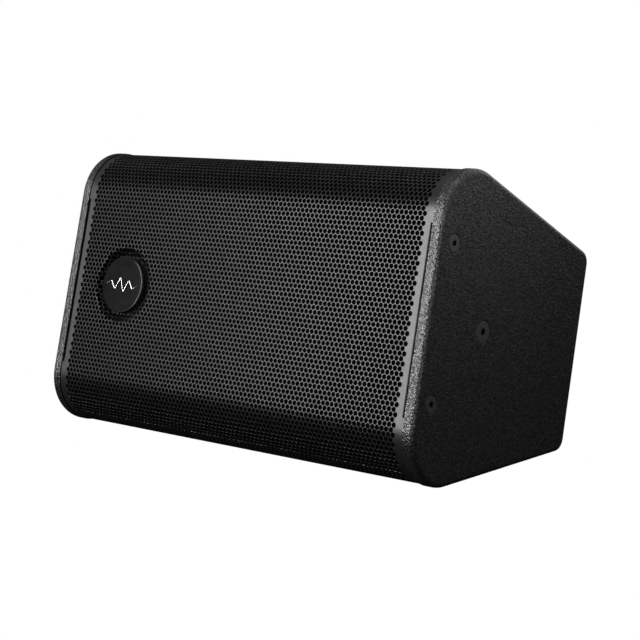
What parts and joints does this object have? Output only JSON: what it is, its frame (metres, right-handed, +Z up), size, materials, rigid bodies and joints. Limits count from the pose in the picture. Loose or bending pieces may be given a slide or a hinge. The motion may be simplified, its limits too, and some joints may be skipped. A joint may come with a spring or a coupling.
{
  "type": "stage monitor wedge",
  "caption": "Compact floor monitor loudspeaker: trapezoid cabinet lying on its sloped side, wrap-round perforated grille, round turning badge.",
  "frame": {"origin": "middle of the bounding box's base, on the floor the cabinet stands on", "axes": "+Z up; +X along the cabinet, from the badge end to the other end; the grille faces -Y"},
  "size_m": [0.46, 0.2774, 0.2732],
  "materials": {
    "cabinet_paint": "fine-grained matt black textured paint on plywood",
    "bare_plywood": "bare birch plywood",
    "black_powder_coat": "semi-gloss black powder coat",
    "acoustic_foam": "open-cell black foam",
    "black_screw_steel": "satin black oxide",
    "plated_steel": "zinc plated",
    "badge_grey": "satin dark grey",
    "bright_chrome": "polished",
    "cast_aluminium": "cast, satin",
    "black_rubber": "matt",
    "treated_paper": "pressed and treated fibre, matt",
    "copper_wire": "enamelled copper wire",
    "ferrite_ceramic": "sintered, matt",
    "black_plastic": "moulded, satin",
    "white_wadding": "fibrous",
    "cable_jacket": "smooth"
  },
  "bodies": {
    "cabinet": {"end_panel_left": "cabinet_paint", "end_panel_right": "cabinet_paint", "top_panel": "cabinet_paint", "bottom_panel": "cabinet_paint", "rear_panel": "cabinet_paint", "baffle": "cabinet_paint", "inner_brace": "bare_plywood", "grille": "black_powder_coat", "input_plate": "black_powder_coat", "grille_foam": "acoustic_foam", "grille_screw_left_upper": "black_screw_steel", "grille_screw_left_lower": "black_screw_steel", "grille_screw_right_upper": "black_screw_steel", "grille_screw_right_lower": "black_screw_steel", "rigging_screw_left": "black_screw_steel", "rigging_screw_right": "black_screw_steel", "woofer_screw_1": "black_screw_steel", "woofer_screw_2": "black_screw_steel", "woofer_screw_3": "black_screw_steel", "woofer_screw_4": "black_screw_steel", "horn_screw_1": "black_screw_steel", "horn_screw_2": "black_screw_steel", "horn_screw_3": "black_screw_steel", "horn_screw_4": "black_screw_steel", "input_plate_screw_1": "black_screw_steel", "input_plate_screw_2": "black_screw_steel", "input_plate_screw_3": "black_screw_steel", "input_plate_screw_4": "black_screw_steel", "rigging_insert_left": "plated_steel", "rigging_insert_right": "plated_steel", "woofer_top_plate": "plated_steel", "woofer_back_plate": "plated_steel", "woofer_frame": "cast_aluminium", "driver_rear_cap": "cast_aluminium", "woofer_gasket": "black_rubber", "woofer_surround": "black_rubber", "woofer_spider": "treated_paper", "lf_inductor": "copper_wire", "woofer_magnet": "ferrite_ceramic", "driver_body": "ferrite_ceramic", "resistor": "ferrite_ceramic", "horn": "black_plastic", "port_tube_upper": "black_plastic", "port_tube_lower": "black_plastic", "speaker_socket_in": "black_plastic", "speaker_socket_out": "black_plastic", "capacitor": "black_plastic", "crossover_board": "black_plastic", "damping_wadding": "white_wadding", "woofer_lead": "cable_jacket", "driver_lead": "cable_jacket", "input_lead": "cable_jacket"},
    "badge": {"badge_disc": "badge_grey", "badge_emblem": "bright_chrome", "badge_washer": "plated_steel", "badge_nut": "plated_steel"},
    "moving_cone": {"woofer_cone": "treated_paper", "woofer_dust_cap": "treated_paper", "woofer_voice_coil": "copper_wire"},
    "hf_moving_part": {"hf_diaphragm": "cast_aluminium"}
  },
  "joints": [
    {"name": "badge_turn", "type": "hinge", "parent": "cabinet", "child": "badge", "pos_m": [-0.149, -0.11618, 0.14781], "axis": [0, -0.9725, 0.2331], "range_deg": [0, 90]},
    {"name": "woofer_stroke", "type": "slide", "parent": "cabinet", "child": "moving_cone", "axis": [0, -0.9725, 0.2331], "range_m": [-0.005, 0.005], "stiffness_N_per_m": 3000, "deforming": ["woofer_surround", "woofer_spider"]},
    {"name": "hf_stroke", "type": "slide", "parent": "cabinet", "child": "hf_moving_part", "axis": [0, -0.9725, 0.2331], "range_m": [-0.0003, 0.0003], "stiffness_N_per_m": 5000}
  ]
}
